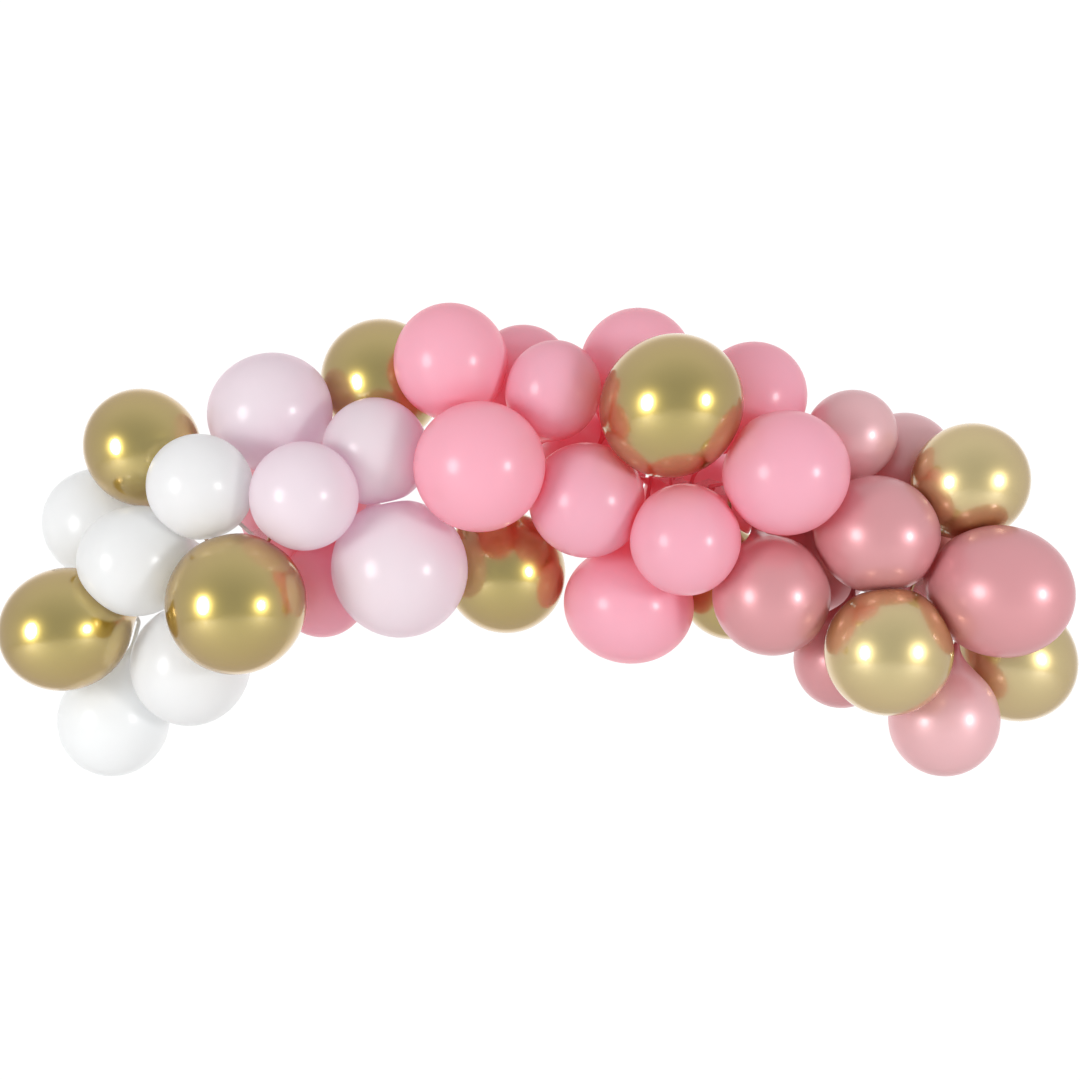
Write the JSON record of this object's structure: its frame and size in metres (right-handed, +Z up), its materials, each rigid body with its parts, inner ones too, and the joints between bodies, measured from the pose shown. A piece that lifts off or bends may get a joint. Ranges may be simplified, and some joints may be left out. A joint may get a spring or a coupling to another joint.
{
  "type": "balloon garland",
  "caption": "Arched garland of round latex balloons in white, gold, pinks and dusty rose, tied through a clear punched strip that hangs from holes at its middle and near its ends.",
  "frame": {"origin": "on the back face of the strip's middle patch, just below the hanging hole at the top of the arch", "axes": "+X along the garland to its dusty rose end, +Y towards the wall, +Z up; the front faces -Y"},
  "size_m": [1.993, 0.5874, 0.8716],
  "materials": {
    "white": "smooth glossy latex, opaque white",
    "gold": "mirror-like metallic latex, champagne gold",
    "pale_pink": "smooth glossy latex, very pale pink",
    "pink": "smooth glossy latex, baby pink",
    "dusty_rose": "pearly latex, dusty rose",
    "clear_strip": "thin clear plastic tape"
  },
  "bodies": {
    "root": {"balloon_white_1": "white", "balloon_gold_1": "gold", "balloon_white_2": "white", "balloon_white_3": "white", "balloon_gold_2": "gold", "balloon_white_4": "white", "balloon_white_5": "white", "balloon_gold_3": "gold", "balloon_pink_1": "pink", "balloon_pale_pink_1": "pale_pink", "balloon_pale_pink_2": "pale_pink", "balloon_pink_2": "pink", "balloon_pale_pink_3": "pale_pink", "balloon_pale_pink_4": "pale_pink", "balloon_gold_4": "gold", "balloon_pink_3": "pink", "balloon_gold_5": "gold", "balloon_pink_4": "pink", "balloon_pink_5": "pink", "balloon_pink_6": "pink", "balloon_pink_7": "pink", "balloon_pink_8": "pink", "balloon_pink_9": "pink", "balloon_gold_6": "gold", "balloon_pink_10": "pink", "balloon_pink_11": "pink", "balloon_pink_12": "pink", "balloon_pink_13": "pink", "balloon_pink_14": "pink", "balloon_gold_7": "gold", "balloon_dusty_rose_1": "dusty_rose", "balloon_dusty_rose_2": "dusty_rose", "balloon_dusty_rose_3": "dusty_rose", "balloon_dusty_rose_4": "dusty_rose", "balloon_dusty_rose_5": "dusty_rose", "balloon_dusty_rose_6": "dusty_rose", "balloon_dusty_rose_7": "dusty_rose", "balloon_gold_8": "gold", "balloon_dusty_rose_8": "dusty_rose", "balloon_gold_9": "gold", "balloon_gold_10": "gold", "balloon_dusty_rose_9": "dusty_rose", "garland_strip": "clear_strip"}
  },
  "joints": []
}
